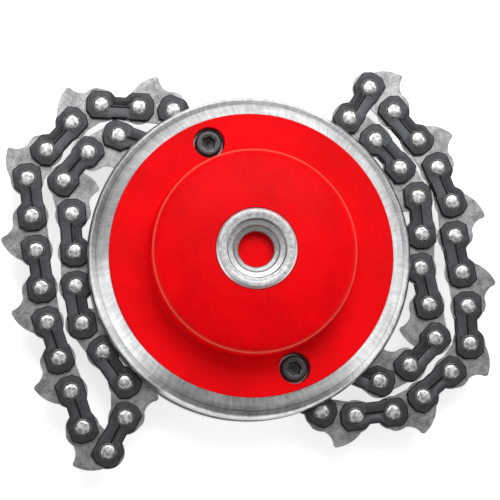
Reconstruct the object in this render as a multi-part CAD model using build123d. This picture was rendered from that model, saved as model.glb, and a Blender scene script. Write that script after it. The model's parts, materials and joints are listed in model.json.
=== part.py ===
from build123d import *
import math
import os

# Chain trimming head: two turned discs with a slot between them, a red cap with a domed boss and a
# steel wear bush, a threaded spindle hub below, and two folded loops of chain hung on two cap screws.
# Frame: +Z up along the spindle, origin on the axis at the bottom face. Millimetres.

# ---- heights
CHAIN_Z = 11.0            # middle plane of both chain loops
SLOT_H = 6.2              # open height between the two discs
SLOT_LOW = CHAIN_Z - SLOT_H / 2
SLOT_HIGH = CHAIN_Z + SLOT_H / 2
ANNULUS_Z = 21.7          # flat red face around the boss
CAP_SEAT_Z = 18.6         # recess floor under the red cap
SHOULDER_Z = 32.2         # top of the boss's rounded shoulder
BOSS_TOP_Z = 34.9         # top of the dome, beside the wear bush
BUSH_SEAT_Z = 30.6        # red floor seen through the bush
BUSH_TOP_Z = 35.6

# ---- disc radii
BODY_R = 42.5
RING_OUT_R = 40.4         # outer edge of the bright bevel
CAP_R = 37.1              # outer edge of the red annulus
BOSS_R = 26.6
SHOULDER_R = 3.2          # radius of the boss's rounded shoulder
CORE_R = 20.0             # spacer core between the discs
BUSH_R = 10.45
BUSH_STEP_R = 7.5         # counterbore in the bush
BUSH_HOLE_R = 4.6
HUB_BODY_R = 9.2
HUB_FLANGE_R = 24.0
HUB_FLANGE_H = 3.0
HUB_TOP_Z = 20.0
THREAD_MINOR_R = 4.35     # M10 x 1.25, wall at the thread's minor diameter
THREAD_L = 16.0           # blind, from the bottom face

# ---- cap screws, M4
SCREW_PCR = 31.4
SCREW_DEG = 110.4
SCREW_R = 2.0
SCREW_HEAD_R = 3.5
SCREW_HEAD_H = 4.0
SCREW_HEAD_Z = 16.6       # seat under the head
HEX_AF = 3.0
COUNTERBORE_R = 4.1
NUT_AF = 7.0
NUT_Z = 1.7
NUT_TOP_Z = 4.9

# ---- screws of the spindle hub's flange
HUB_SCREW_PCR = 17.5
HUB_SCREW_R = 1.5

# ---- chain
DRIVE_PITCH = 9.1
STRAP_PITCH = 9.95
DRIVE_T = 1.3
FIN_T = 1.06
STRAP_T = 1.2
SIDE_GAP = 0.05           # between a drive link and the strap plates beside it
STRAP_IN = DRIVE_T / 2 + SIDE_GAP
STRAP_OUT = STRAP_IN + STRAP_T
EAR = 3.7                 # half height of a strap's ear
WAIST = 2.3               # half height of a strap at its notch, on the fin side
BULGE_R = 4.4             # round ends of a drive link
PIN_R = 2.0               # rivet in the drive link's hole
PIN_HOLE_R = 2.06
RIVET_NECK_R = 1.5        # rivet inside a strap plate
RIVET_HEAD_R = 2.27
RIVET_HEAD_H = 0.6
OPEN_PIVOT_R = 2.4        # loose hole in the anchor plate, where a loop's last rivet lies

# Rest fold of each loop. The first rivet outside the disc, the headings of the links from rivet to
# rivet in degrees from +X (drive link first, then strap, in turn), and the headings of the entry
# strap, into that first rivet, and of the exit strap, out of the last one.
LOOPS = {
    "left": {
        "side": 1,
        "first": (-19.7, 39.5),
        "entry": 156,
        "links": (175, 177, -148, -132, -123, -83, -83, -82, -80, -72, -70, -72,
                  -44, 63, 90, 125, 127, 100, 92, 94, 104, 50, 30),
        "exit": -20,
    },
    "right": {
        "side": -1,
        "first": (18.9, -40.2),
        "entry": -24,
        "links": (-8, 6, 27, 41, 55, 92, 99, 100, 94, 112, 124, 130,
                  136, -124, -40, -49, -59, -85, -93, -78, -80, -134, -153),
        "exit": 158,
    },
}

os.makedirs("parts", exist_ok=True)


def polar(r, degrees):
    return (r * math.cos(math.radians(degrees)), r * math.sin(math.radians(degrees)))


def save(name, *solids):
    shape = solids[0] if len(solids) == 1 else Compound(children=list(solids))
    shape.label = name
    export_step(shape, f"parts/{name}.step")


def turned(points):
    """Solid of revolution about Z from (radius, height) points."""
    face = make_face(Polyline(*[(r, 0, z) for r, z in points], close=True))
    return revolve(face, Axis.Z).solid()


def rod(r, z0, z1, x=0, y=0):
    return Pos(x, y, (z0 + z1) / 2) * Cylinder(r, z1 - z0)


def prism(sketch, z0, z1):
    return extrude(Plane.XY.offset(z0) * sketch, z1 - z0)


def hexagon(across_flats):
    return RegularPolygon(across_flats / 2, 6, major_radius=False)


SCREWS = [(s * polar(SCREW_PCR, SCREW_DEG)[0], s * polar(SCREW_PCR, SCREW_DEG)[1]) for s in (1, -1)]
HUB_SCREWS = [polar(HUB_SCREW_PCR, a) for a in (20, 140, 260)]


# ---------------------------------------------------------------- fixed head
def make_upper_disc():
    disc = turned([
        (HUB_BODY_R + 0.1, SLOT_HIGH),
        (BODY_R - 0.4, SLOT_HIGH),
        (BODY_R, SLOT_HIGH + 0.4),
        (BODY_R, SLOT_HIGH + 2.0),
        (BODY_R - 0.5, SLOT_HIGH + 3.0),
        (BODY_R - 1.3, SLOT_HIGH + 3.8),
        (RING_OUT_R, SLOT_HIGH + 4.2),
        (CAP_R, ANNULUS_Z - 0.1),
        (CAP_R, CAP_SEAT_Z),
        (HUB_BODY_R + 0.1, CAP_SEAT_Z),
    ])
    for x, y in SCREWS:
        disc -= rod(SCREW_R + 0.1, SLOT_HIGH - 1, ANNULUS_Z, x, y)
        disc -= rod(COUNTERBORE_R, SCREW_HEAD_Z, ANNULUS_Z, x, y)
    return disc


def make_red_cap():
    profile = [
        (0, HUB_TOP_Z + 0.1),
        (HUB_BODY_R + 0.1, HUB_TOP_Z + 0.1),
        (HUB_BODY_R + 0.1, CAP_SEAT_Z),
        (CAP_R - 0.05, CAP_SEAT_Z),
        (CAP_R - 0.05, ANNULUS_Z),
        (BOSS_R + 0.6, ANNULUS_Z),
        (BOSS_R, ANNULUS_Z + 0.6),
        (BOSS_R, SHOULDER_Z - SHOULDER_R),
    ]
    for a in (15, 30, 45, 60):
        profile.append((BOSS_R - SHOULDER_R + SHOULDER_R * math.cos(math.radians(a)),
                        SHOULDER_Z - SHOULDER_R + SHOULDER_R * math.sin(math.radians(a))))
    profile += [
        (BOSS_R - 3.0, SHOULDER_Z + 0.1),
        (19.0, SHOULDER_Z + 1.5),
        (14.5, BOSS_TOP_Z - 0.3),
        (BUSH_R + 0.15, BOSS_TOP_Z),
        (BUSH_R + 0.15, BUSH_SEAT_Z),
        (0, BUSH_SEAT_Z),
    ]
    cap = turned(profile)
    for x, y in SCREWS:
        cap -= rod(COUNTERBORE_R, ANNULUS_Z - 4, ANNULUS_Z + 0.3, x, y)
    return cap


def make_wear_bush():
    return turned([
        (BUSH_HOLE_R, BUSH_SEAT_Z),
        (BUSH_R, BUSH_SEAT_Z),
        (BUSH_R, BUSH_TOP_Z - 0.6),
        (BUSH_R - 0.6, BUSH_TOP_Z),
        (BUSH_STEP_R, BUSH_TOP_Z - 0.15),
        (BUSH_STEP_R, BUSH_TOP_Z - 1.3),
        (BUSH_STEP_R - 1.2, BUSH_TOP_Z - 1.5),
        (BUSH_STEP_R - 1.4, BUSH_TOP_Z - 2.0),
        (BUSH_HOLE_R, BUSH_TOP_Z - 2.6),
    ])


def make_lower_disc():
    disc = turned([
        (HUB_BODY_R + 0.1, HUB_FLANGE_H),
        (HUB_FLANGE_R + 0.1, HUB_FLANGE_H),
        (HUB_FLANGE_R + 0.1, 0.8),
        (36.0, 0.8),
        (38.5, 1.6),
        (BODY_R - 0.6, 4.8),
        (BODY_R, 5.6),
        (BODY_R, SLOT_LOW - 0.4),
        (BODY_R - 0.4, SLOT_LOW),
        (CORE_R, SLOT_LOW),
        (CORE_R, SLOT_HIGH),
        (HUB_BODY_R + 0.1, SLOT_HIGH),
    ])
    for x, y in SCREWS:
        disc -= rod(SCREW_R + 0.1, 0, SLOT_LOW + 1, x, y)
        disc -= rod(NUT_AF / math.sqrt(3) + 0.35, 0, NUT_TOP_Z, x, y)
    for x, y in HUB_SCREWS:
        disc -= rod(HUB_SCREW_R, 2, 9.5, x, y)
    return disc


def make_spindle_hub():
    hub = turned([
        (THREAD_MINOR_R, 0),
        (HUB_FLANGE_R - 0.8, 0),
        (HUB_FLANGE_R, 0.8),
        (HUB_FLANGE_R, HUB_FLANGE_H),
        (HUB_BODY_R, HUB_FLANGE_H),
        (HUB_BODY_R, HUB_TOP_Z),
        (0, HUB_TOP_Z),
        (0, THREAD_L + 2.0),
        (THREAD_MINOR_R, THREAD_L),
    ])
    for x, y in HUB_SCREWS:
        hub -= rod(HUB_SCREW_R + 0.1, -1, 4, x, y)
        hub -= Pos(x, y, 0.8) * Cone(3.4, HUB_SCREW_R + 0.1, 1.6)
    return hub


def make_cap_screw(x, y):
    head = rod(SCREW_HEAD_R, SCREW_HEAD_Z, SCREW_HEAD_Z + SCREW_HEAD_H)
    head = chamfer(head.edges().group_by(Axis.Z)[-1], 0.35)
    shank = rod(SCREW_R, NUT_Z + 0.2, SCREW_HEAD_Z)
    socket = prism(hexagon(HEX_AF), SCREW_HEAD_Z + 1.8, SCREW_HEAD_Z + SCREW_HEAD_H + 1)
    return Pos(x, y, 0) * (head + shank - socket)


def make_lock_nut(x, y):
    nut = prism(hexagon(NUT_AF), NUT_Z, NUT_TOP_Z) - rod(SCREW_R, 0, 8)
    return Pos(x, y, 0) * nut


def make_hub_screw(x, y):
    body = rod(HUB_SCREW_R, 1.4, 9.0) + Pos(0, 0, 0.8) * Cone(2.85, HUB_SCREW_R, 1.2)
    return Pos(x, y, 0) * (body - prism(hexagon(2.0), -1, 1.2))


save("upper_disc", make_upper_disc())
save("red_cap", make_red_cap())
save("wear_bush", make_wear_bush())
save("lower_disc", make_lower_disc())
save("spindle_hub", make_spindle_hub())
save("cap_screws", *[make_cap_screw(x, y) for x, y in SCREWS])
save("lock_nuts", *[make_lock_nut(x, y) for x, y in SCREWS])
save("hub_screws", *[make_hub_screw(x, y) for x, y in HUB_SCREWS])


# ---------------------------------------------------------------- chain pieces
# Link frame: +X from the link's first rivet to its second, fins towards -Y, Z = 0 at mid thickness.
def drive_link():
    fin = make_face([
        Line((-2.6, -3.55), (-1.6, -4.6)),
        ThreePointArc((-1.6, -4.6), (-0.1, -5.05), (1.4, -5.0)),
        ThreePointArc((1.4, -5.0), (3.5, -6.25), (4.5, -8.3)),
        Line((4.5, -8.3), (5.1, -8.75)),
        ThreePointArc((5.1, -8.75), (8.7, -6.95), (11.6, -3.1)),
        Line((11.6, -3.1), (12.5, -2.1)),
        Line((12.5, -2.1), (9.1, 0)),
        Line((9.1, 0), (0, 0)),
        Line((0, 0), (-2.6, -3.55)),
    ])
    waist = Pos(DRIVE_PITCH / 2, 0.6) * Rectangle(DRIVE_PITCH, 6.2)
    ends = Circle(BULGE_R) + Pos(DRIVE_PITCH, 0) * Circle(BULGE_R)
    link = prism(fin + waist + ends, -DRIVE_T / 2, DRIVE_T / 2)
    # the fin is ground thinner than the body beyond a straight step
    for s in (1, -1):
        link -= Pos(4.5, -2.4 - 5, s * (FIN_T / 2 + 1)) * Box(30, 10, 2)
    for x in (0, DRIVE_PITCH):
        link -= rod(PIN_HOLE_R, -2, 2, x, 0)
    return link


def strap_outline(first_ear_round=False, last_ear_round=False):
    p = STRAP_PITCH
    low, high = -4.0, p + 4.0
    body = Polyline(
        (low, -1.6), (-2.5, -EAR), (2.1, -EAR), (3.5, -WAIST), (p - 3.5, -WAIST),
        (p - 2.1, -EAR), (p + 2.5, -EAR), (high, -1.6), (high, 1.6), (p + 2.5, EAR),
        (p - 2.5, EAR), (p - 3.0, 3.35), (3.0, 3.35), (2.5, EAR), (-2.5, EAR), (low, 1.6), close=True)
    face = make_face(body)
    # the ears that lie inside the slot, beside the cap screw, are round
    if first_ear_round:
        face = face - Pos(-5, 0) * Rectangle(10, 20) + Circle(EAR)
    if last_ear_round:
        face = face - Pos(p + 5, 0) * Rectangle(10, 20) + Pos(p, 0) * Circle(EAR)
    return face


def rivet(x):
    head = [(0, STRAP_OUT), (RIVET_HEAD_R, STRAP_OUT), (RIVET_HEAD_R, STRAP_OUT + 0.16),
            (2.05, STRAP_OUT + 0.28), (1.6, STRAP_OUT + 0.3), (1.3, STRAP_OUT + 0.52),
            (0.8, STRAP_OUT + RIVET_HEAD_H), (0, STRAP_OUT + RIVET_HEAD_H)]
    top = turned(head)
    pin = rod(RIVET_NECK_R, -STRAP_OUT, STRAP_OUT) + rod(PIN_R, -STRAP_IN, STRAP_IN)
    return Pos(x, 0, 0) * (pin + top + Rot(180, 0, 0) * top).solid()


def strap_pair(first_ear_round=False, last_ear_round=False):
    plate = prism(strap_outline(first_ear_round, last_ear_round), STRAP_IN, STRAP_OUT)
    plate = chamfer(plate.edges().group_by(Axis.Z)[-1], 0.2)
    for x in (0, STRAP_PITCH):
        plate -= rod(RIVET_NECK_R, 0, 4, x, 0)
    # stamped crease between the rivets, on the outer face
    plate -= Pos(STRAP_PITCH / 2, 0, STRAP_OUT) * Box(4.2, 0.5, 0.2)
    lower = plate.mirror(Plane.XY)
    return [plate.solid(), lower.solid(), rivet(0), rivet(STRAP_PITCH)]


def step(point, length, degrees):
    dx, dy = polar(length, degrees)
    return (point[0] + dx, point[1] + dy)


def placed(solids, point, degrees):
    spot = Pos(point[0], point[1], CHAIN_Z) * Rot(0, 0, degrees)
    return [spot * s for s in solids]


def anchor_plate(screw, first, last):
    """Flat plate that turns on the cap screw and carries both ends of a loop."""
    boss = Pos(*screw) * Circle(4.6)
    sheet = Sketch()
    for lobe in (Pos(*first) * Circle(3.2), Pos(*last) * Circle(3.4)):
        sheet += make_hull([*boss.edges(), *lobe.edges()])
    plate = prism(sheet, CHAIN_Z - DRIVE_T / 2, CHAIN_Z + DRIVE_T / 2)
    for (x, y), r in ((screw, PIN_HOLE_R), (first, PIN_HOLE_R), (last, OPEN_PIVOT_R)):
        plate -= rod(r, 0, 30, x, y)
    return plate.solid()


def make_loop(name, side, first, entry, links, exit_deg):
    drive = [drive_link().solid()]
    strap = strap_pair()
    start = step(first, STRAP_PITCH, entry + 180)
    save(f"{name}_entry_strap", *placed(strap_pair(first_ear_round=True), start, entry))
    point = first
    pivots = [start, first]
    for i, degrees in enumerate(links):
        is_drive = i % 2 == 0
        number = i // 2 + 1
        kind = "drive" if is_drive else "strap"
        save(f"{name}_{kind}_{number:02d}", *placed(drive if is_drive else strap, point, degrees))
        point = step(point, DRIVE_PITCH if is_drive else STRAP_PITCH, degrees)
        pivots.append(point)
    save(f"{name}_exit_strap", *placed(strap_pair(last_ear_round=True), point, exit_deg))
    end = step(point, STRAP_PITCH, exit_deg)
    screw = (side * SCREWS[0][0], side * SCREWS[0][1])
    save(f"{name}_anchor", anchor_plate(screw, start, end))
    print(name, "anchor", [round(v, 3) for v in start], "end", [round(v, 3) for v in end])


for name, loop in LOOPS.items():
    make_loop(name, loop["side"], loop["first"], loop["entry"], loop["links"], loop["exit"])
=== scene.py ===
"""Finishes, fine detail and studio for a chain trimming head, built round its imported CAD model."""

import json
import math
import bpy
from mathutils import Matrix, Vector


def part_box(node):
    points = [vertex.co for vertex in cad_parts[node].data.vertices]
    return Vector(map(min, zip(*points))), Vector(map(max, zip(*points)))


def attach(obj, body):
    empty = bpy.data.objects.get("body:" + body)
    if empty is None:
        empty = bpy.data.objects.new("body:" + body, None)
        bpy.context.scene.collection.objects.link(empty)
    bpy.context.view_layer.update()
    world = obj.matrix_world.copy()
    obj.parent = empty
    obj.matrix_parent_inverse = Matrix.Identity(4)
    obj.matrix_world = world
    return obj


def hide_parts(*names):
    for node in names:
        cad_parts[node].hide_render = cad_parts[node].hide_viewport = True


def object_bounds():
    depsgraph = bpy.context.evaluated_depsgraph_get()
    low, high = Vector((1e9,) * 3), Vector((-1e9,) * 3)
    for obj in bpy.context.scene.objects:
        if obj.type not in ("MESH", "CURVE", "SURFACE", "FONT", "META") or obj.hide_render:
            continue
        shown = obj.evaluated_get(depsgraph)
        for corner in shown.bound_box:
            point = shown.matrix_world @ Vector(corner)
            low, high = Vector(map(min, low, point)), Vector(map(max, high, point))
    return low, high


bl_info = {
    "name": "Chain trimming head",
    "version": (1, 0, 0),
    "blender": (4, 5, 0),
    "location": "3D View > Sidebar > Trimming head",
    "description": "Turned discs, red cap, wear bush, screws and riveted chain loops, with a studio",
    "category": "Object",
}

import bmesh
import bpy
from mathutils import Matrix, Vector

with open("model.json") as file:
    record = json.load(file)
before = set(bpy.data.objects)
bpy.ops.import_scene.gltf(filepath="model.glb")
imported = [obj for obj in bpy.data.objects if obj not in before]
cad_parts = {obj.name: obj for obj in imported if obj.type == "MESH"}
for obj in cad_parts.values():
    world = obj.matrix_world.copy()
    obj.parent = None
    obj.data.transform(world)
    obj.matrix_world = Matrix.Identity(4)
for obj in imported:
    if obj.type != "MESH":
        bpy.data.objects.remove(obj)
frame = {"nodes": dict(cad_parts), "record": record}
CAD_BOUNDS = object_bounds()
NODES = frame["nodes"]
BODY_OF = {n: b for b, ns in frame["record"]["behaviour"]["bodies"].items() for n in ns}
MM = 0.001

# radii of the marks on the turned pieces and of the painted highlight round the boss, in millimetres
BEVEL_GROOVE = 40.35
RIM_GROOVE = 42.3
BOSS_HIGHLIGHT_RADIUS = 26.2
# heights above the hub's bottom face between which painted shade darkens the lower disc and a painted
# highlight fades in on the boss, in millimetres
LOWER_DISC_SHADE_HEIGHTS = (15.0, 12.0)
BOSS_HIGHLIGHT_HEIGHTS = (26.0, 28.0)


# ---------------------------------------------------------------- sizes and colours
class HeadSettings(bpy.types.PropertyGroup):
    """Sizes and colours of the turned head."""

    paint: bpy.props.FloatVectorProperty(
        name="Cap paint", description="Colour of the powder coat", subtype="COLOR",
        size=3, min=0, max=1, default=(0.88, 0.0, 0.004))
    aluminium: bpy.props.FloatVectorProperty(
        name="Disc metal", description="Colour of the turned discs", subtype="COLOR",
        size=3, min=0, max=1, default=(0.76, 0.76, 0.765))
    zinc: bpy.props.FloatVectorProperty(
        name="Zinc plate", description="Colour of the bush, hub and nuts", subtype="COLOR",
        size=3, min=0, max=1, default=(0.60, 0.60, 0.605))
    oxide: bpy.props.FloatVectorProperty(
        name="Black oxide", description="Colour of the cap screws", subtype="COLOR",
        size=3, min=0, max=1, default=(0.062, 0.065, 0.067))
    edge_round: bpy.props.FloatProperty(
        name="Edge rounding", description="Radius broken onto the turned edges", unit="LENGTH",
        min=0, default=0.18 * MM)
    knurl_depth: bpy.props.FloatProperty(
        name="Knurl depth", description="Depth of the grooves round a cap screw's head",
        unit="LENGTH", min=0, default=0.12 * MM)
    knurl_count: bpy.props.IntProperty(
        name="Knurl grooves", description="Grooves round a cap screw's head", min=12, default=36)


class ChainSettings(bpy.types.PropertyGroup):
    """Sizes and colours of the chain."""

    strap: bpy.props.FloatVectorProperty(
        name="Strap plates", description="Colour of the blued strap plates", subtype="COLOR",
        size=3, min=0, max=1, default=(0.050, 0.051, 0.055))
    rivet: bpy.props.FloatVectorProperty(
        name="Rivets", description="Colour of the peened rivet heads", subtype="COLOR",
        size=3, min=0, max=1, default=(0.54, 0.535, 0.53))
    drive: bpy.props.FloatVectorProperty(
        name="Drive links", description="Colour of the finned drive links", subtype="COLOR",
        size=3, min=0, max=1, default=(0.31, 0.31, 0.314))
    head_radius: bpy.props.FloatProperty(
        name="Rivet head radius", description="Radius of a peened rivet head", unit="LENGTH",
        min=0, default=2.27 * MM)
    head_height: bpy.props.FloatProperty(
        name="Rivet head height", description="Height of a rivet head over the strap plate",
        unit="LENGTH", min=0, default=0.6 * MM)
    strap_thickness: bpy.props.FloatProperty(
        name="Strap thickness", description="Thickness of one strap plate", unit="LENGTH",
        min=0, default=1.2 * MM)
    strap_gap: bpy.props.FloatProperty(
        name="Strap inner gap", description="Half the distance between the two plates of a strap",
        unit="LENGTH", min=0, default=0.70 * MM)
    strap_bevel: bpy.props.FloatProperty(
        name="Strap edge", description="Rounding of the strap plates' stamped edges",
        unit="LENGTH", min=0, default=0.24 * MM)
    pitch: bpy.props.FloatProperty(
        name="Strap pitch", description="Distance between the two rivets of a strap",
        unit="LENGTH", min=0, default=9.95 * MM)


class StudioSettings(bpy.types.PropertyGroup):
    """Camera, lights and floor."""

    azimuth: bpy.props.FloatProperty(
        name="Camera azimuth", description="Direction the camera leans towards, from +X",
        subtype="ANGLE", default=math.radians(-127.9))
    tilt: bpy.props.FloatProperty(
        name="Camera tilt", description="Lean of the camera from straight above",
        subtype="ANGLE", default=math.radians(9.11))
    roll: bpy.props.FloatProperty(
        name="Camera roll", description="Turn about the viewing axis", subtype="ANGLE",
        default=math.radians(-0.42))
    distance: bpy.props.FloatProperty(
        name="Camera distance", description="From the aim point to the camera", unit="LENGTH",
        default=0.6287)
    lens: bpy.props.FloatProperty(
        name="Lens", description="Focal length on a 36 mm sensor", subtype="DISTANCE_CAMERA",
        default=172.9)
    aim: bpy.props.FloatVectorProperty(
        name="Aim", description="Point the camera looks at", subtype="XYZ", unit="LENGTH",
        size=3, default=(0.00007, 0.00193, 0.016))
    floor: bpy.props.FloatVectorProperty(
        name="Floor", description="Colour of the floor", subtype="COLOR", size=3, min=0, max=1,
        default=(0.93, 0.93, 0.93))
    key: bpy.props.FloatProperty(
        name="Key light", description="Power of the large overhead softbox", unit="POWER",
        default=3.5)
    screen: bpy.props.FloatProperty(
        name="Reflected screen", description="Power of the screen that metal mirrors",
        unit="POWER", default=0.55)
    top: bpy.props.FloatProperty(
        name="Top screen", description="Power of the low screen that metal mirrors",
        unit="POWER", default=1.35)
    side: bpy.props.FloatProperty(
        name="Side light", description="Power of the strip lights at the sides", unit="POWER",
        default=0.45)
    sky: bpy.props.FloatProperty(
        name="Tent light", description="Strength of the light tent", default=0.50)


# ---------------------------------------------------------------- shader maths
class Signal:
    """A node's output socket that takes part in ordinary arithmetic."""

    def __init__(self, tree, socket):
        self.tree = tree
        self.socket = socket

    def maths(self, operation, first, second=0.0, third=0.0):
        return self.tree.node(
            "ShaderNodeMath", {"operation": operation}, {0: first, 1: second, 2: third})

    def __add__(self, other):
        return self.maths("ADD", self, other)

    def __radd__(self, other):
        return self.maths("ADD", other, self)

    def __sub__(self, other):
        return self.maths("SUBTRACT", self, other)

    def __rsub__(self, other):
        return self.maths("SUBTRACT", other, self)

    def __mul__(self, other):
        return self.maths("MULTIPLY", self, other)

    def __rmul__(self, other):
        return self.maths("MULTIPLY", other, self)

    def __pow__(self, other):
        return self.maths("POWER", self, other)

    def __abs__(self):
        return self.maths("ABSOLUTE", self)

    def at_least(self, other):
        return self.maths("MAXIMUM", self, other)

    def at_most(self, other):
        return self.maths("MINIMUM", self, other)

    def sine(self):
        return self.maths("SINE", self)

    def cosine(self):
        return self.maths("COSINE", self)

    def rise(self, low, high, bottom=0.0, top=1.0):
        """Smooth step from bottom to top as this signal goes from low to high."""
        return self.tree.node(
            "ShaderNodeMapRange", {"interpolation_type": "SMOOTHSTEP"},
            {"Value": self, "From Min": low, "From Max": high, "To Min": bottom, "To Max": top})

    def band(self, centre, half, soft):
        """1 within half of centre, fading to 0 over soft."""
        return 1.0 - abs(self - centre).rise(half, half + soft)


class Tree:
    """A node tree whose nodes all come from one method."""

    def __init__(self, tree):
        self.tree = tree
        tree.nodes.clear()

    def node(self, kind, settings=None, inputs=None, output=0):
        made = self.tree.nodes.new(kind)
        for key, value in (settings or {}).items():
            if key == "stops":
                ramp = made.color_ramp
                while len(ramp.elements) < len(value):
                    ramp.elements.new(0.5)
                for element, (position, colour) in zip(ramp.elements, value):
                    element.position = position
                    element.color = (*colour, 1.0)
            else:
                setattr(made, key, value)
        for key, value in (inputs or {}).items():
            socket = made.inputs[key]
            if isinstance(value, Signal):
                self.tree.links.new(value.socket, socket)
            elif hasattr(socket, "default_value"):
                if hasattr(value, "__len__") and len(value) == 3 and socket.type == "RGBA":
                    value = (*value, 1.0)
                socket.default_value = value
        return Signal(self, made.outputs[output]) if made.outputs else made

    def point(self):
        """Position on the piece in millimetres."""
        place = self.node("ShaderNodeTexCoord", output=3)
        return self.node("ShaderNodeVectorMath", {"operation": "SCALE"}, {0: place, "Scale": 1000.0})

    def split(self, vector):
        first = self.node("ShaderNodeSeparateXYZ", None, {0: vector})
        outputs = first.socket.node.outputs
        return [Signal(self, outputs[i]) for i in range(3)]

    def join(self, x, y, z):
        return self.node("ShaderNodeCombineXYZ", None, {0: x, 1: y, 2: z})

    def noise(self, vector, scale, detail=3.0, rough=0.5, distortion=0.0):
        return self.node(
            "ShaderNodeTexNoise", None,
            {"Vector": vector, "Scale": scale, "Detail": detail, "Roughness": rough,
             "Distortion": distortion})

    def cells(self, vector, scale, feature="F1"):
        return self.node(
            "ShaderNodeTexVoronoi", {"feature": feature}, {"Vector": vector, "Scale": scale})

    def mix(self, first, second, factor):
        return self.node(
            "ShaderNodeMix", {"data_type": "RGBA"}, {0: factor, 6: first, 7: second}, 2)

    def bump(self, height, distance, strength=1.0):
        inputs = {"Height": height, "Distance": distance, "Strength": strength}
        return self.node("ShaderNodeBump", None, inputs)

    def polar(self, point):
        """Radius in millimetres and angle in radians about the spindle axis."""
        x, y, z = self.split(point)
        radius = (x * x + y * y) ** 0.5
        angle = x.maths("ARCTAN2", y, x)
        return radius, angle, z


def shade(colour, factor):
    return tuple(min(1.0, c * factor) for c in colour[:3])


def finish(name, **sockets):
    """A material with one Principled shader, its sockets given by name with spaces as _."""
    material = bpy.data.materials.new(name)
    material.use_nodes = True
    tree = Tree(material.node_tree)
    build = sockets.pop("build", None)
    if build:
        sockets.update(build(tree))
    shader = tree.node(
        "ShaderNodeBsdfPrincipled", None, {k.replace("_", " "): v for k, v in sockets.items()})
    tree.node("ShaderNodeOutputMaterial", None, {"Surface": shader})
    return material


# ---------------------------------------------------------------- finishes
def turned_aluminium(colour):
    """Lathe-turned aluminium: feed marks, slanting chatter, scratches, two turned grooves and painted
    shade on the lower disc.
    """

    def build(tree):
        point = tree.point()
        x, y, z = tree.split(point)
        radius, angle, z = tree.polar(point)
        swept = angle + radius * 0.045 + z * 0.05
        ring = tree.join(swept.cosine() * 2.2, swept.sine() * 2.2, radius * 0.35)
        chatter = tree.noise(
            tree.join(swept.cosine() * 46.0, swept.sine() * 46.0, radius * 0.22), 1.0, 4.0, 0.62)
        feed = tree.noise(
            tree.join(angle.cosine() * 3.0, angle.sine() * 3.0, (radius + z) * 7.0), 1.0, 3.0, 0.6)
        broad = tree.noise(ring, 1.6, 3.0, 0.55)
        scratches = tree.noise(
            tree.join(x * 0.35, y * 3.1, z), 1.3, 6.0, 0.7, 1.2).rise(0.60, 0.66)
        tone = chatter.rise(0.30, 0.72) * 0.55 + broad.rise(0.35, 0.65) * 0.45
        base = tree.mix(shade(colour, 0.62), shade(colour, 1.17), tone)
        base = tree.mix(base, shade(colour, 0.80), feed.rise(0.50, 0.75) * 0.55)
        base = tree.mix(base, shade(colour, 1.22), scratches * 0.5)
        grooves = radius.band(BEVEL_GROOVE, 0.10, 0.14).at_least(
            radius.band(RIM_GROOVE, 0.08, 0.12))
        # painted shade: the metal below the upper disc is darkened
        base = tree.mix(base, shade(colour, 0.45), z.rise(*LOWER_DISC_SHADE_HEIGHTS) * 0.85)
        base = tree.mix(base, shade(colour, 0.22), grooves * 0.45)
        height = chatter * 0.5 + feed * 0.7 + scratches * -0.25
        return {
            "Base_Color": base,
            "Roughness": 0.20 + chatter * 0.12 + feed * 0.14 + scratches * 0.08,
            "Normal": tree.bump(height, 0.05 * MM, 0.55),
        }

    return finish("turned_aluminium", build=build, Metallic=1.0)


def powder_coat(colour):
    """Satin powder coat: orange peel, faint flow of pigment, dust nibs and a painted highlight round
    the boss's edge.
    """

    def build(tree):
        point = tree.point()
        peel = tree.noise(point, 1.15, 2.0, 0.45)
        fine = tree.noise(point, 5.5, 2.0, 0.5)
        flow = tree.noise(point, 0.07, 3.0, 0.5)
        nibs = 1.0 - tree.cells(point, 0.42).rise(0.05, 0.12)
        base = tree.mix(shade(colour, 0.86), shade(colour, 1.06), flow.rise(0.3, 0.7))
        base = tree.mix(base, (0.96, 0.008, 0.004), peel.rise(0.35, 0.8) * 0.35)
        base = tree.mix(base, shade(colour, 0.70), nibs * 0.45)
        radius, _, z = tree.polar(point)
        # painted highlight: a lighter orange band round the boss's edge
        painted_boss_highlight = radius.band(BOSS_HIGHLIGHT_RADIUS, 0.12, 0.18) * z.rise(*BOSS_HIGHLIGHT_HEIGHTS)
        base = tree.mix(base, (1.0, 0.30, 0.17), painted_boss_highlight * 0.30)
        return {
            "Base_Color": base,
            "Roughness": 0.36 + fine * 0.10 + flow * 0.06,
            "Normal": tree.bump(peel * 0.8 + fine * 0.2 + nibs * 0.5, 0.035 * MM, 0.5),
        }

    return finish("red_powder_coat", build=build, Metallic=0.0, Specular_IOR_Level=0.05)


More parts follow.
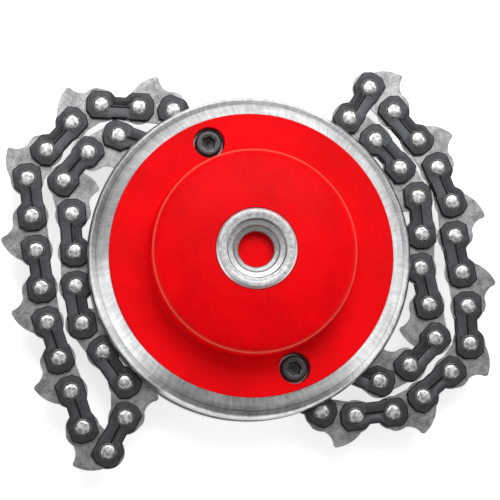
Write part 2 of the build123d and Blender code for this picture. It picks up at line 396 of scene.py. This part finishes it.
def zinc_plate(name, colour, rings=1.0, rim=0.0):
    """Turned steel under mottled zinc; rim is the bush's outer radius, with a painted highlight at its
    edge and painted shade over its middle.
    """

    def build(tree):
        point = tree.point()
        radius, angle, z = tree.polar(point)
        mottle = tree.noise(point, 1.25, 5.0, 0.62, 0.6)
        grain = tree.noise(point, 7.0, 3.0, 0.6)
        pits = 1.0 - tree.cells(point, 1.9).rise(0.06, 0.18)
        turning = tree.noise(
            tree.join(angle.cosine() * 2.0, angle.sine() * 2.0, (radius + z) * 6.0 * rings), 1.0,
            3.0, 0.6)
        tone = mottle.rise(0.34, 0.66) * 0.6 + grain * 0.4
        base = tree.mix(shade(colour, 0.50), shade(colour, 1.35), tone)
        base = tree.mix(base, shade(colour, 0.42), pits * 0.6)
        base = tree.mix(base, shade(colour, 0.82), turning.rise(0.45, 0.7) * 0.4)
        if rim:
            # painted shade darkens the middle of the bush, and a painted highlight brightens its edge
            base = tree.mix(base, shade(colour, 0.62), radius.rise(rim * 0.80, rim * 0.66) * 0.45)
            base = tree.mix(base, shade(colour, 1.45), radius.rise(rim - 0.75, rim - 0.45) * 0.8)
        return {
            "Base_Color": base,
            "Roughness": 0.26 + mottle * 0.16 + grain * 0.10,
            "Normal": tree.bump(
                mottle * 0.5 + grain * 0.3 + turning * 0.5 - pits * 0.4, 0.05 * MM, 0.5),
        }

    return finish(name, build=build, Metallic=1.0)


def black_oxide(colour):
    """Oil-blackened screw steel with rubbed, lighter high spots."""

    def build(tree):
        point = tree.point()
        grain = tree.noise(point, 6.5, 4.0, 0.6)
        rub = tree.noise(point, 1.6, 3.0, 0.6)
        base = tree.mix(shade(colour, 0.7), shade(colour, 2.2), grain.rise(0.35, 0.75))
        base = tree.mix(base, (0.30, 0.30, 0.31), rub.rise(0.56, 0.70) * 0.34)
        return {
            "Base_Color": base,
            "Roughness": 0.30 + grain * 0.18,
            "Normal": tree.bump(grain, 0.03 * MM, 0.5),
        }

    return finish("oiled_oxide", build=build, Metallic=0.85)


def blued_strap(colour, pitch):
    """Blued, oiled strap plate: fine pitting, rubbed streaks, painted shade in the crease along the
    waist and a painted highlight on one side of it.
    """

    def build(tree):
        point = tree.point()
        x, y, z = tree.split(point)
        grain = tree.noise(point, 2.4, 4.0, 0.70)
        streak = tree.noise(tree.join(x * 0.5, y * 3.4, z), 1.3, 5.0, 0.6, 0.4)
        cloud = tree.noise(point, 0.55, 3.0, 0.5)
        pits = 1.0 - tree.cells(point, 2.6).rise(0.05, 0.20)
        waist = abs(x - pitch / MM / 2).rise(3.2, 2.6)
        crease = abs(y - 0.42).rise(0.26, 0.14) * waist
        base = tree.mix(shade(colour, 0.84), shade(colour, 1.42), streak.rise(0.32, 0.70))
        base = tree.mix(base, shade(colour, 2.0), cloud.rise(0.52, 0.72) * 0.45)
        base = tree.mix(base, shade(colour, 0.45), grain.rise(0.50, 0.68) * 0.55)
        # painted highlight: the face on one side of the crease is lighter
        base = tree.mix(base, shade(colour, 1.9), y.rise(0.5, 0.8) * waist * 0.5)
        base = tree.mix(base, shade(colour, 0.40), pits * 0.5)
        # painted shade darkens the crease
        base = tree.mix(base, shade(colour, 0.08), crease * 0.9)
        return {
            "Base_Color": base,
            "Roughness": 0.33 + grain * 0.20 + pits * 0.1,
            "Normal": tree.bump(
                grain * 0.5 + streak * 0.2 - pits * 0.5 - crease * 2.0, 0.06 * MM, 0.55),
        }

    return finish("blued_strap", build=build, Metallic=0.88)


def peened_rivet(colour, pitch, head):
    """Bright peened rivet steel: hammer facets, a turned ring groove, and painted shade in that groove
    and round the head's edge.
    """

    def build(tree):
        point = tree.point()
        x, y, _ = tree.split(point)
        facets = tree.cells(point, 1.05, "SMOOTH_F1")
        grain = tree.noise(point, 7.5, 3.0, 0.6)
        tarnish = tree.noise(point, 1.7, 4.0, 0.6)
        along = abs(x).at_most(abs(x - pitch / MM))
        radius = (along * along + y * y) ** 0.5
        groove_shade = radius.band(head * 0.885, 0.12, 0.12)
        rim = radius.rise(head - 0.10, head)
        base = tree.mix(shade(colour, 0.60), shade(colour, 1.42), facets.rise(0.2, 0.6))
        # painted shade darkens the ring groove and the head's edge
        base = tree.mix(base, shade(colour, 0.05), groove_shade * 0.92)
        base = tree.mix(base, shade(colour, 0.16), rim * 0.9)
        base = tree.mix(base, shade(colour, 0.38), tarnish.rise(0.51, 0.62) * 0.8)
        return {
            "Base_Color": base,
            "Roughness": 0.25 + grain * 0.12 + tarnish * 0.12,
            "Normal": tree.bump(facets * 0.9 + grain * 0.15, 0.10 * MM, 0.55),
        }

    return finish("peened_rivet", build=build, Metallic=1.0)


def drive_steel(colour):
    """Tumbled drive-link steel: satin grain, stone marks, a few oil stains."""

    def build(tree):
        point = tree.point()
        x, y, z = tree.split(point)
        grain = tree.noise(point, 5.2, 4.0, 0.65)
        cloud = tree.noise(point, 0.32, 4.0, 0.55, 0.5)
        lines = tree.noise(tree.join(x * 4.2 + y * 1.1, y * 0.5 - x * 0.15, z), 1.2, 5.0, 0.65)
        nicks = tree.noise(point, 2.1, 6.0, 0.72, 1.4).rise(0.63, 0.69)
        stain = tree.noise(point, 0.85, 4.0, 0.6, 0.9).rise(0.60, 0.72)
        base = tree.mix(shade(colour, 0.64), shade(colour, 1.34), cloud.rise(0.32, 0.68))
        base = tree.mix(base, shade(colour, 0.55), lines.rise(0.45, 0.72) * 0.55)
        speck = tree.noise(point, 2.3, 3.0, 0.72, 0.4)
        base = tree.mix(base, shade(colour, 0.42), speck.rise(0.50, 0.66) * 0.6)
        base = tree.mix(base, shade(colour, 1.5), speck.rise(0.46, 0.34) * 0.5)
        base = tree.mix(base, shade(colour, 1.45), nicks * 0.5)
        base = tree.mix(base, shade(colour, 0.48), stain * 0.45)
        return {
            "Base_Color": base,
            "Roughness": 0.26 + grain * 0.14 + stain * 0.10,
            "Normal": tree.bump(
                grain * 0.4 + lines * 0.4 + speck * 0.7 - nicks * 0.4, 0.06 * MM, 0.6),
        }

    return finish("tumbled_steel", build=build, Metallic=0.95)


def shaded_edge_finish(name, colour):
    """Darker metal on a plate's cut sides and rounded edges: painted shade along the edges."""

    def build(tree):
        grain = tree.noise(tree.point(), 5.0, 3.0, 0.6)
        base = tree.mix(shade(colour, 0.6), shade(colour, 1.5), grain.rise(0.35, 0.7))
        return {
            "Base_Color": base,
            "Roughness": 0.36 + grain * 0.16,
            "Normal": tree.bump(grain, 0.03 * MM, 0.5),
        }

    return finish(name, build=build, Metallic=0.85)


def floor_paper(colour):
    """Matt white paper sweep with a faint fibre."""

    def build(tree):
        point = tree.point()
        fibre = tree.noise(point, 1.4, 4.0, 0.6)
        broad = tree.noise(point, 0.01, 2.0, 0.5)
        base = tree.mix(shade(colour, 0.985), shade(colour, 1.01), fibre * 0.6 + broad * 0.4)
        return {"Base_Color": base, "Normal": tree.bump(fibre, 0.05 * MM, 0.3)}

    return finish("floor_paper", build=build, Roughness=0.9, Specular_IOR_Level=0.1,
                  Emission_Color=(1.0, 1.0, 1.0), Emission_Strength=0.60)


# ---------------------------------------------------------------- mesh helpers
def soften(mesh, degrees):
    """Smooth shading, with edges sharper than the angle kept sharp."""
    mesh.polygons.foreach_set("use_smooth", [True] * len(mesh.polygons))
    mesh.set_sharp_from_angle(angle=math.radians(degrees))
    return mesh


def as_mesh(name, work):
    bmesh.ops.recalc_face_normals(work, faces=work.faces)
    mesh = bpy.data.meshes.new(name)
    work.to_mesh(mesh)
    work.free()
    return mesh


def put(name, mesh, node, finishes, matrix=None):
    """A new piece that stands for a CAD node and rides on its body."""
    piece = bpy.data.objects.new(name, mesh)
    bpy.context.scene.collection.objects.link(piece)
    if not mesh.materials:
        for material in finishes:
            mesh.materials.append(material)
    if matrix is not None:
        piece.matrix_world = matrix
    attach(piece, BODY_OF[node])
    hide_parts(node)
    return piece


def rounded(points, radius):
    """A closed outline with each corner replaced by a small arc."""
    steps = 3
    out = []
    for i, point in enumerate(points):
        here = Vector(point)
        before = Vector(points[i - 1]) - here
        after = Vector(points[(i + 1) % len(points)]) - here
        reach = min(radius, before.length * 0.45, after.length * 0.45)
        start = here + before.normalized() * reach
        end = here + after.normalized() * reach
        for k in range(steps + 1):
            t = k / steps
            out.append(start * (1 - t) ** 2 + here * 2 * t * (1 - t) + end * t * t)
    return out


def loft(work, rings, cap_start=False, cap_end=False, close=False):
    """Quads between rings of equal length, each a list of points."""
    made = [[work.verts.new(p) for p in ring] for ring in rings]
    pairs = list(zip(made, made[1:]))
    if close:
        pairs.append((made[-1], made[0]))
    for low, high in pairs:
        for i in range(len(low)):
            j = (i + 1) % len(low)
            work.faces.new((low[i], low[j], high[j], high[i]))
    if cap_start:
        work.faces.new(list(reversed(made[0])))
    if cap_end:
        work.faces.new(made[-1])
    return made


def circle(radius, z, count, centre=(0.0, 0.0)):
    return [
        (centre[0] + radius * math.cos(2 * math.pi * i / count),
         centre[1] + radius * math.sin(2 * math.pi * i / count), z)
        for i in range(count)]


def turned_mesh(name, profile, count):
    """Ring turned from a closed outline of (radius, height) points in metres."""
    work = bmesh.new()
    loft(work, [circle(r, z, count) for r, z in profile], close=True)
    return soften(as_mesh(name, work), 40)


def ease_edges(node, width, segments=2, degrees=28, slot=-1):
    """Broken edges on a CAD piece, by modifiers that leave its own mesh alone."""
    piece = NODES[node]
    weld = piece.modifiers.new("weld", "WELD")
    weld.merge_threshold = 2e-6
    bevel = piece.modifiers.new("edge", "BEVEL")
    bevel.width = width
    bevel.segments = segments
    bevel.limit_method = "ANGLE"
    bevel.angle_limit = math.radians(degrees)
    bevel.material = slot
    bevel.miter_outer = "MITER_SHARP"
    smooth = piece.modifiers.new("normals", "WEIGHTED_NORMAL")
    smooth.keep_sharp = True
    smooth.weight = 60


def dress(node, material):
    piece = NODES[node]
    piece.data.materials.clear()
    piece.data.materials.append(material)


def kept(name, maker, *arguments):
    """A finish made once and shared."""
    return bpy.data.materials.get(name) or maker(*arguments)


# ---------------------------------------------------------------- operators
class TRIMHEAD_OT_discs(bpy.types.Operator):
    """Turned finish and broken edges on the two discs"""

    bl_idname = "trimhead.discs"
    bl_label = "Turned discs"

    def execute(self, context):
        settings = context.scene.trimhead_head
        metal = kept("turned_aluminium", turned_aluminium, settings.aluminium)
        for node in ("upper_disc", "lower_disc"):
            dress(node, metal)
            ease_edges(node, settings.edge_round)
        return {"FINISHED"}


class TRIMHEAD_OT_cap(bpy.types.Operator):
    """Powder coat and eased edges on the red cap"""

    bl_idname = "trimhead.cap"
    bl_label = "Red cap"

    def execute(self, context):
        settings = context.scene.trimhead_head
        dress("red_cap", kept("red_powder_coat", powder_coat, settings.paint))
        ease_edges("red_cap", settings.edge_round * 1.3, 3, 20)
        return {"FINISHED"}


class TRIMHEAD_OT_bush(bpy.types.Operator):
    """Stepped steel wear bush in the boss"""

    bl_idname = "trimhead.bush"
    bl_label = "Wear bush"

    def execute(self, context):
        settings = context.scene.trimhead_head
        low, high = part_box("wear_bush")
        outer = high.x
        top = high.z
        bottom = low.z
        bore = 0.44
        chamfer = 0.62 * MM
        # the steps inside, as shares of the outer radius and millimetres below the top
        steps = [
            (0.86, 0.02), (0.80, 0.10), (0.745, 0.12), (0.715, 0.34), (0.712, 1.25), (0.60, 1.45),
            (0.575, 1.55), (0.565, 2.0), (0.47, 2.42), (bore, 2.62)]
        profile = [
            (outer * bore, bottom), (outer, bottom), (outer, top - chamfer), (outer - chamfer, top)]
        profile += [(outer * share, top - drop * MM) for share, drop in steps]
        mesh = turned_mesh("wear_bush_turned", rounded(profile, 0.14 * MM), 224)
        put("wear_bush_turned", mesh, "wear_bush",
            [kept("zinc_bush", zinc_plate, "zinc_bush", settings.zinc, 1.0, outer / MM)])
        return {"FINISHED"}


class TRIMHEAD_OT_screws(bpy.types.Operator):
    """Knurled socket-head cap screws"""

    bl_idname = "trimhead.screws"
    bl_label = "Cap screws"

    def screw(self, work, settings, centre, top, turn):
        """One screw from shank to socket; turn is the angle of its hexagon."""
        count = settings.knurl_count * 6
        radius = 3.5 * MM
        shank = 2.0 * MM
        shank_end = top - 18.6 * MM
        seat = top - 4.0 * MM
        half_flat = 1.5 * MM

        def knurled(z, share, grow=0.0):
            ring = []
            for i in range(count):
                a = 2 * math.pi * i / count
                r = radius + grow - share * settings.knurl_depth * (
                    0.5 + 0.5 * math.cos(settings.knurl_count * a))
                ring.append((centre[0] + r * math.cos(a), centre[1] + r * math.sin(a), z))
            return ring

        def hexed(z, grow=0.0):
            ring = []
            for i in range(count):
                a = 2 * math.pi * i / count
                local = (a - turn) % (math.pi / 3) - math.pi / 6
                r = (half_flat + grow) / math.cos(local)
                ring.append((centre[0] + r * math.cos(a), centre[1] + r * math.sin(a), z))
            return ring

        rings = [
            circle(shank, shank_end, count, centre),
            circle(shank, seat, count, centre),
            circle(3.2 * MM, seat, count, centre),
            knurled(seat + 0.15 * MM, 0.3, -0.10 * MM),
            knurled(seat + 0.45 * MM, 1.0),
            knurled(top - 0.62 * MM, 1.0),
            knurled(top - 0.42 * MM, 0.5, -0.03 * MM),
            circle(radius - 0.20 * MM, top - 0.22 * MM, count, centre),
            circle(radius - 0.42 * MM, top - 0.05 * MM, count, centre),
            circle(radius - 0.62 * MM, top, count, centre),
            circle(2.30 * MM, top, count, centre),
            circle(2.12 * MM, top - 0.03 * MM, count, centre),
            hexed(top - 0.14 * MM, 0.14 * MM),
            hexed(top - 0.30 * MM),
            hexed(top - 2.05 * MM),
            hexed(top - 2.18 * MM, -0.10 * MM),
            circle(1.05 * MM, top - 2.20 * MM, count, centre),
            circle(0.95 * MM, top - 2.32 * MM, count, centre),
            circle(0.62 * MM, top - 2.42 * MM, count, centre),
            circle(0.30 * MM, top - 2.60 * MM, count, centre),
            circle(0.02 * MM, top - 2.66 * MM, count, centre)]
        loft(work, rings, cap_start=True, cap_end=True)

    def execute(self, context):
        settings = context.scene.trimhead_head
        spots = screw_centres()
        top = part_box("cap_screws")[1].z
        work = bmesh.new()
        for k, spot in enumerate(spots):
            self.screw(work, settings, spot, top, turn=0.35 + 0.9 * k)
        mesh = soften(as_mesh("cap_screws_knurled", work), 30)
        put("cap_screws_knurled", mesh, "cap_screws",
            [kept("oiled_oxide", black_oxide, settings.oxide)])
        return {"FINISHED"}


def middle(points):
    """Middle of some points' extent, seen from above."""
    return tuple((min(p[i] for p in points) + max(p[i] for p in points)) / 2 for i in (0, 1))


def screw_centres():
    """The two cap screws' axes, from the CAD piece."""
    points = [v.co for v in NODES["cap_screws"].data.vertices]
    return [middle([p for p in points if p.y * sign > 0]) for sign in (1, -1)]


class TRIMHEAD_OT_hub(bpy.types.Operator):
    """Spindle hub, its flange screws and the lock nuts"""

    bl_idname = "trimhead.hub"
    bl_label = "Spindle hub and nuts"

    def execute(self, context):
        settings = context.scene.trimhead_head
        dress("spindle_hub", kept("zinc_hub", zinc_plate, "zinc_hub", settings.zinc))
        dress("lock_nuts", kept("zinc_nut", zinc_plate, "zinc_nut", settings.zinc, 0.4))
        dress("hub_screws", kept("oiled_oxide", black_oxide, settings.oxide))
        ease_edges("spindle_hub", settings.edge_round)
        ease_edges("lock_nuts", settings.edge_round * 1.4, 3)
        ease_edges("hub_screws", settings.edge_round * 0.5)
        return {"FINISHED"}


class TRIMHEAD_OT_drives(bpy.types.Operator):
    """Tumbled finish and stoned edges, darkened with painted shade, on the drive links and anchor
    plates
    """

    bl_idname = "trimhead.drives"
    bl_label = "Drive links"

    def execute(self, context):
        settings = context.scene.trimhead_chain
        steel = kept("tumbled_steel", drive_steel, settings.drive)
        edge_shade = kept("drive_edge", shaded_edge_finish, "drive_edge", shade(settings.drive, 0.22))
        for node in NODES:
            if "_drive_" in node or node.endswith("_anchor"):
                dress(node, steel)
                # the rounded edges take the darker edge finish: painted shade
                NODES[node].data.materials.append(edge_shade)
                ease_edges(node, 0.15 * MM, 2, 30, 1)
        return {"FINISHED"}


class TRIMHEAD_OT_straps(bpy.types.Operator):
    """Stamped strap plates with their peened rivets"""

    bl_idname = "trimhead.straps"
    bl_label = "Strap plates and rivets"

    def outline(self, pitch, first_round, last_round):
        """Edge of one plate in millimetres, counter-clockwise, the notched side towards -Y."""
        ear = 3.7

        def arc(x, start, end):
            return [
                (x + ear * math.cos(math.radians(start + (end - start) * i / 12)),
                 ear * math.sin(math.radians(start + (end - start) * i / 12))) for i in range(13)]

        left = [(-2.5, ear), (-4.0, 1.6), (-4.0, -1.6), (-2.5, -ear)]
        right = [(pitch + 2.5, -ear), (pitch + 4.0, -1.6), (pitch + 4.0, 1.6), (pitch + 2.5, ear)]
        if first_round:
            left = arc(0.0, 90, 270)
        if last_round:
            right = arc(pitch, -90, 90)
        low = [(2.1, -ear), (3.5, -2.3), (pitch - 3.5, -2.3), (pitch - 2.1, -ear)]
        high = [(pitch - 2.5, ear), (pitch - 3.0, 3.35), (3.0, 3.35), (2.5, ear)]
        return left + low + right + high

    def plate(self, work, settings, pitch, first_round, last_round, side):
        """One plate, lofted from its outline with rounded stamped edges and a crease."""
        edge = rounded(self.outline(pitch / MM, first_round, last_round), 0.35)
        inner = settings.strap_gap
        outer = inner + settings.strap_thickness
        bevel = settings.strap_bevel
        count = len(edge)

        def inset(amount, z):
            ring = []
            for i in range(count):
                along = edge[(i + 1) % count] - edge[i - 1]
                normal = Vector((-along.y, along.x)).normalized()
                spot = edge[i] * MM + normal * amount
                ring.append((spot.x, spot.y, side * z))
            return ring

        rings = [inset(bevel * 0.45, inner), inset(0.0, inner + bevel * 0.45)]
        for k in range(5):
            a = math.pi / 2 * k / 4
            rings.append(inset(bevel * (1 - math.cos(a)), outer - bevel + bevel * math.sin(a)))
        before = len(work.faces)
        made = loft(work, rings, cap_start=True)
        work.faces.ensure_lookup_table()
        # the sides and rounded edges take the darker edge finish: painted shade
        for face in work.faces[before:]:
            face.material_index = 2
        # the face is closed in strips round a pressed crease along the middle
        mid_x, half_l, half_w, depth = pitch / 2, 2.1 * MM, 0.27 * MM, 0.13 * MM
        flatten = 0.14
        crease = []
        for i in range(count):
            spot = Vector(made[-1][i].co[:2])
            away = spot - Vector((mid_x, 0.0))
            t = math.atan2(away.y / half_w * flatten, away.x / half_l)
            crease.append((math.cos(t), math.sin(t)))

        def oval(grow, z):
            return [
                work.verts.new((mid_x + c * (half_l + grow), s * (half_w + grow), side * z))
                for c, s in crease]

        bands = [made[-1], oval(0.16 * MM, outer), oval(0.0, outer - depth * 0.8),
                 oval(-0.18 * MM, outer - depth)]
        for low, high in zip(bands, bands[1:]):
            for i in range(count):
                j = (i + 1) % count
                work.faces.new((low[i], low[j], high[j], high[i]))
        work.faces.new(bands[-1])

    def rivet(self, work, settings, x):
        """One rivet: a pin and a peened head on each side."""
        out = settings.strap_gap + settings.strap_thickness
        pin = 2.0 * MM
        pin_end = settings.strap_gap - 0.02 * MM
        # the head, as shares of its radius and of its height over the plate
        dome = [
            (1.0, -0.02), (1.0, 0.14), (0.99, 0.20), (0.965, 0.25), (0.93, 0.27), (0.90, 0.25),
            (0.875, 0.26), (0.85, 0.36), (0.82, 0.50), (0.76, 0.65), (0.67, 0.78), (0.56, 0.87),
            (0.43, 0.935), (0.30, 0.97), (0.19, 0.99), (0.09, 0.998), (0.01, 1.0)]
        half = [(pin, pin_end)]
        half += [(share * settings.head_radius, out + up * settings.head_height) for share, up in dome]
        profile = [(radius, -height) for radius, height in reversed(half)] + half
        rings = [circle(radius, height, 44, (x, 0.0)) for radius, height in profile]
        before = len(work.faces)
        loft(work, rings, cap_start=True, cap_end=True)
        work.faces.ensure_lookup_table()
        for face in work.faces[before:]:
            face.material_index = 1

    def execute(self, context):
        settings = context.scene.trimhead_chain
        plates = kept("blued_strap", blued_strap, settings.strap, settings.pitch)
        rivets = kept("peened_rivet", peened_rivet, settings.rivet, settings.pitch,
                      settings.head_radius / MM)
        edge_shade = kept("strap_edge", shaded_edge_finish, "strap_edge", shade(settings.strap, 0.18))
        shapes = {}
        for kind, first_round, last_round in (
                ("strap", False, False), ("entry", True, False), ("exit", False, True)):
            work = bmesh.new()
            for side in (1, -1):
                self.plate(work, settings, settings.pitch, first_round, last_round, side)
            self.rivet(work, settings, 0.0)
            self.rivet(work, settings, settings.pitch)
            mesh = as_mesh(kind + "_link", work)
            for material in (plates, rivets, edge_shade):
                mesh.materials.append(material)
            shapes[kind] = soften(mesh, 38)
        for node in sorted(NODES):
            if "strap" not in node:
                continue
            kind = "entry" if "entry" in node else "exit" if "exit" in node else "strap"
            put(node + "_stamped", shapes[kind], node, [], link_matrix(node, settings.pitch))
        return {"FINISHED"}


def link_matrix(node, pitch):
    """Where a strap link lies: origin on its first rivet, +X to the second, notch towards -Y."""
    near = 3 * MM
    ear = 2.9 * MM
    points = [v.co.copy() for v in NODES[node].data.vertices]
    top = max(p.z for p in points)
    height = (top + min(p.z for p in points)) / 2
    crowns = [p for p in points if p.z > top - 0.02 * MM]
    first = [p for p in crowns if (p - crowns[0]).length < near]
    second = [p for p in crowns if (p - crowns[0]).length >= near]
    ends = [Vector((*middle(crown), height)) for crown in (first, second)]
    along = (ends[1] - ends[0]).normalized()
    across = Vector((-along.y, along.x, 0.0))
    reach = [
        (p - ends[0]).dot(across) for p in points
        if ear < (p - ends[0]).dot(along) < pitch - ear]
    if max(reach) + min(reach) < 0:
        ends.reverse()
        along.negate()
        across.negate()
    turn = Matrix((along, across, Vector((0, 0, 1)))).transposed().to_4x4()
    return Matrix.Translation(ends[0]) @ turn


class TRIMHEAD_OT_studio(bpy.types.Operator):
    """Floor, light tent, softboxes and camera"""

    bl_idname = "trimhead.studio"
    bl_label = "Studio"

    def lamp(self, name, place, aim, size, power, mirrored=True, spread=True):
        data = bpy.data.lights.new(name, "AREA")
        data.shape = "RECTANGLE"
        data.size, data.size_y = size
        data.energy = power
        lamp = bpy.data.objects.new(name, data)
        lamp.location = place
        lamp.rotation_euler = (Vector(aim) - Vector(place)).to_track_quat("-Z", "Y").to_euler()
        lamp.visible_glossy = mirrored
        lamp.visible_diffuse = spread
        lamp.visible_camera = False
        bpy.context.scene.collection.objects.link(lamp)

    def tent(self, settings):
        world = bpy.data.worlds.new("light_tent")
        world.use_nodes = True
        tree = Tree(world.node_tree)
        _, y, z = tree.split(tree.node("ShaderNodeTexCoord", output=0))
        lift = z.rise(0.10, 0.86) * 0.72 + (y * 0.55 + z * 0.45).rise(0.05, 0.95) * 0.28
        colour = tree.node(
            "ShaderNodeValToRGB",
            {"stops": [(0.0, (0.06, 0.06, 0.062)), (0.30, (0.22, 0.22, 0.225)),
                       (0.70, (0.88, 0.88, 0.89)), (1.0, (1.25, 1.25, 1.26))]}, {"Fac": lift})
        back = tree.node("ShaderNodeBackground", None, {"Color": colour, "Strength": settings.sky})
        tree.node("ShaderNodeOutputWorld", None, {"Surface": back})
        bpy.context.scene.world = world

    def floor(self, settings, z):
        work = bmesh.new()
        bmesh.ops.create_grid(work, x_segments=24, y_segments=24, size=1.6)
        for vertex in work.verts:
            vertex.co.z = z
        mesh = as_mesh("floor_sheet", work)
        mesh.materials.append(kept("floor_paper", floor_paper, settings.floor))
        floor = bpy.data.objects.new("floor_sheet", mesh)
        bpy.context.scene.collection.objects.link(floor)

    def camera(self, settings):
        lean = Vector((
            math.sin(settings.tilt) * math.cos(settings.azimuth),
            math.sin(settings.tilt) * math.sin(settings.azimuth), math.cos(settings.tilt)))
        right = (-lean).cross(Vector((0, 1, 0))).normalized()
        up = right.cross(-lean)
        turn = Matrix((right, up, lean)).transposed()
        turn = turn @ Matrix.Rotation(settings.roll, 3, "Z")
        data = bpy.data.cameras.new("camera")
        data.sensor_width = 36.0
        data.lens = settings.lens
        data.clip_start = 0.01
        camera = bpy.data.objects.new("camera", data)
        camera.matrix_world = Matrix.Translation(
            Vector(settings.aim) + lean * settings.distance) @ turn.to_4x4()
        bpy.context.scene.collection.objects.link(camera)
        bpy.context.scene.camera = camera

    def execute(self, context):
        settings = context.scene.trimhead_studio
        self.floor(settings, CAD_BOUNDS[0][2] - 0.05 * MM)
        self.tent(settings)
        self.lamp("key_softbox", (0.06, 0.42, 0.60), (0.0, 0.03, 0.02), (0.62, 0.46),
                  settings.key, False)
        self.lamp("key_screen", (0.06, 0.44, 0.60), (0.0, 0.03, 0.02), (0.62, 0.46),
                  settings.screen)
        self.lamp("top_screen", (0.03, 0.262, 0.33), (0.03, 0.235, 0.0), (0.60, 0.33),
                  settings.top, True, False)
        self.lamp("left_strip", (-0.47, -0.20, 0.12), (0, 0, 0.02), (0.5, 0.16), settings.side)
        self.lamp("right_strip", (0.49, -0.15, 0.12), (0, 0, 0.02), (0.5, 0.16),
                  settings.side)
        self.camera(settings)
        context.scene.view_settings.view_transform = "Standard"
        context.scene.view_settings.look = "None"
        return {"FINISHED"}


class TRIMHEAD_PT_panel(bpy.types.Panel):
    """Sizes, colours and build steps of the trimming head"""

    bl_idname = "TRIMHEAD_PT_panel"
    bl_label = "Trimming head"
    bl_space_type = "VIEW_3D"
    bl_region_type = "UI"
    bl_category = "Trimming head"

    def draw(self, context):
        for title, settings in (
                ("Head", context.scene.trimhead_head),
                ("Chain", context.scene.trimhead_chain),
                ("Studio", context.scene.trimhead_studio)):
            box = self.layout.box()
            box.label(text=title)
            for name in settings.__annotations__:
                box.prop(settings, name)
        for operator in STEPS:
            self.layout.operator(operator.bl_idname)


STEPS = (
    TRIMHEAD_OT_studio,
    TRIMHEAD_OT_discs,
    TRIMHEAD_OT_cap,
    TRIMHEAD_OT_bush,
    TRIMHEAD_OT_screws,
    TRIMHEAD_OT_hub,
    TRIMHEAD_OT_drives,
    TRIMHEAD_OT_straps,
)
GROUPS = (
    ("trimhead_head", HeadSettings),
    ("trimhead_chain", ChainSettings),
    ("trimhead_studio", StudioSettings),
)


def register():
    for name, group in GROUPS:
        bpy.utils.register_class(group)
        setattr(bpy.types.Scene, name, bpy.props.PointerProperty(type=group))
    for cls in (*STEPS, TRIMHEAD_PT_panel):
        bpy.utils.register_class(cls)


def unregister():
    for cls in (TRIMHEAD_PT_panel, *reversed(STEPS)):
        bpy.utils.unregister_class(cls)
    for name, group in reversed(GROUPS):
        delattr(bpy.types.Scene, name)
        bpy.utils.unregister_class(group)


def main():
    register()
    for step in STEPS:
        family, name = step.bl_idname.split(".")
        getattr(getattr(bpy.ops, family), name)()


if __name__ == "__main__":
    main()
